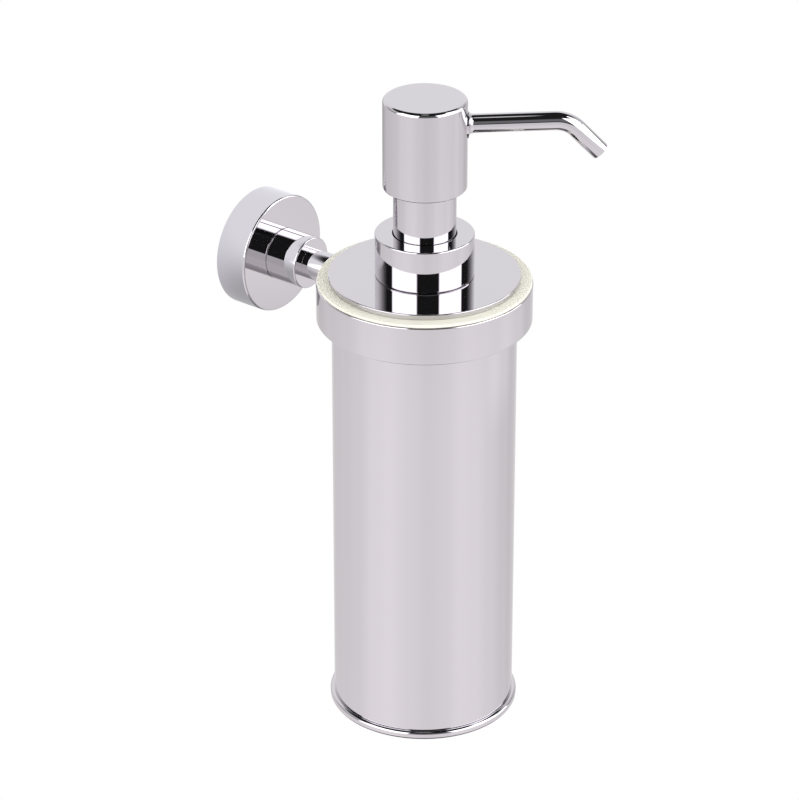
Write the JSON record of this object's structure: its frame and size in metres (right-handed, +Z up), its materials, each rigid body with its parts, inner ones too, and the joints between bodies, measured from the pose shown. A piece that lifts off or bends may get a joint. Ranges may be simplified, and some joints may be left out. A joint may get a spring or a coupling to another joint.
{
  "type": "wall mounted soap dispenser",
  "caption": "Chrome soap dispenser: cylindrical container hung in a ring on a short wall arm, with a press pump, tall round head and a thin down-turned spout.",
  "frame": {"origin": "centre of the wall bracket's rear face, on the wall plane and on the arm's axis", "axes": "+Z up; the wall is on the +Y side and the object stands out along -Y; +X to the right seen from the front"},
  "size_m": [0.0818, 0.124, 0.2355],
  "materials": {
    "chrome_brass": "polished chrome plating on brass",
    "zinc_bracket": "plain machined steel",
    "stainless": "satin stainless steel",
    "screw_steel": "zinc plated steel",
    "ivory_plastic": "satin ivory plastic",
    "white_plastic": "moulded natural white plastic",
    "clear_plastic": "translucent plastic",
    "seal_rubber": "matt black rubber"
  },
  "bodies": {
    "wall_arm": {"wall_bracket": "zinc_bracket", "wall_flange": "chrome_brass", "flange_grub_screw": "screw_steel", "arm_screw": "screw_steel", "arm_stub": "chrome_brass", "arm_neck": "chrome_brass", "ring_holder": "chrome_brass"},
    "bushing": {"ring_liner": "ivory_plastic"},
    "container": {"container_tube": "chrome_brass", "container_base": "chrome_brass", "top_plate": "chrome_brass", "neck_bush": "white_plastic"},
    "pump": {"pump_cylinder": "white_plastic", "neck_gasket": "seal_rubber", "guide_cap": "white_plastic", "dip_tube": "clear_plastic", "valve_cage": "white_plastic", "return_spring": "stainless"},
    "collar": {"collar_shell": "chrome_brass", "collar_insert": "white_plastic"},
    "inlet_valve": {"inlet_ball": "stainless"},
    "plunger": {"stem": "white_plastic", "piston": "white_plastic", "piston_seal": "seal_rubber"},
    "outlet_valve": {"outlet_ball": "stainless"},
    "head": {"head_shell": "chrome_brass", "skirt_sleeve": "chrome_brass", "head_core": "white_plastic", "spout_tube": "chrome_brass", "spout_hose": "clear_plastic", "spout_ferrule": "chrome_brass"}
  },
  "joints": [
    {"name": "container_lift", "type": "slide", "parent": "wall_arm", "child": "bushing", "axis": [0, 0, 1], "range_m": [0, 0.18]},
    {"name": "container_turn", "type": "hinge", "parent": "bushing", "child": "container", "pos_m": [0, -0.077, 0], "axis": [0, 0, 1], "continuous": true},
    {"name": "pump_lift", "type": "slide", "parent": "container", "child": "pump", "axis": [0, 0, 1], "range_m": [0, 0.18]},
    {"name": "collar_turn", "type": "hinge", "parent": "pump", "child": "collar", "pos_m": [0, -0.077, 0], "axis": [0, 0, 1], "continuous": true},
    {"name": "inlet_ball_lift", "type": "slide", "parent": "pump", "child": "inlet_valve", "axis": [0, 0, 1], "range_m": [0, 0.0013]},
    {"name": "head_press", "type": "slide", "parent": "pump", "child": "plunger", "axis": [0, 0, -1], "range_m": [0, 0.014], "stiffness_N_per_m": 350, "springref_m": -0.012, "deforming": ["return_spring"]},
    {"name": "outlet_ball_lift", "type": "slide", "parent": "plunger", "child": "outlet_valve", "axis": [0, 0, 1], "range_m": [0, 0.002]},
    {"name": "head_swivel", "type": "hinge", "parent": "plunger", "child": "head", "pos_m": [0, -0.077, 0], "axis": [0, 0, 1], "continuous": true}
  ]
}
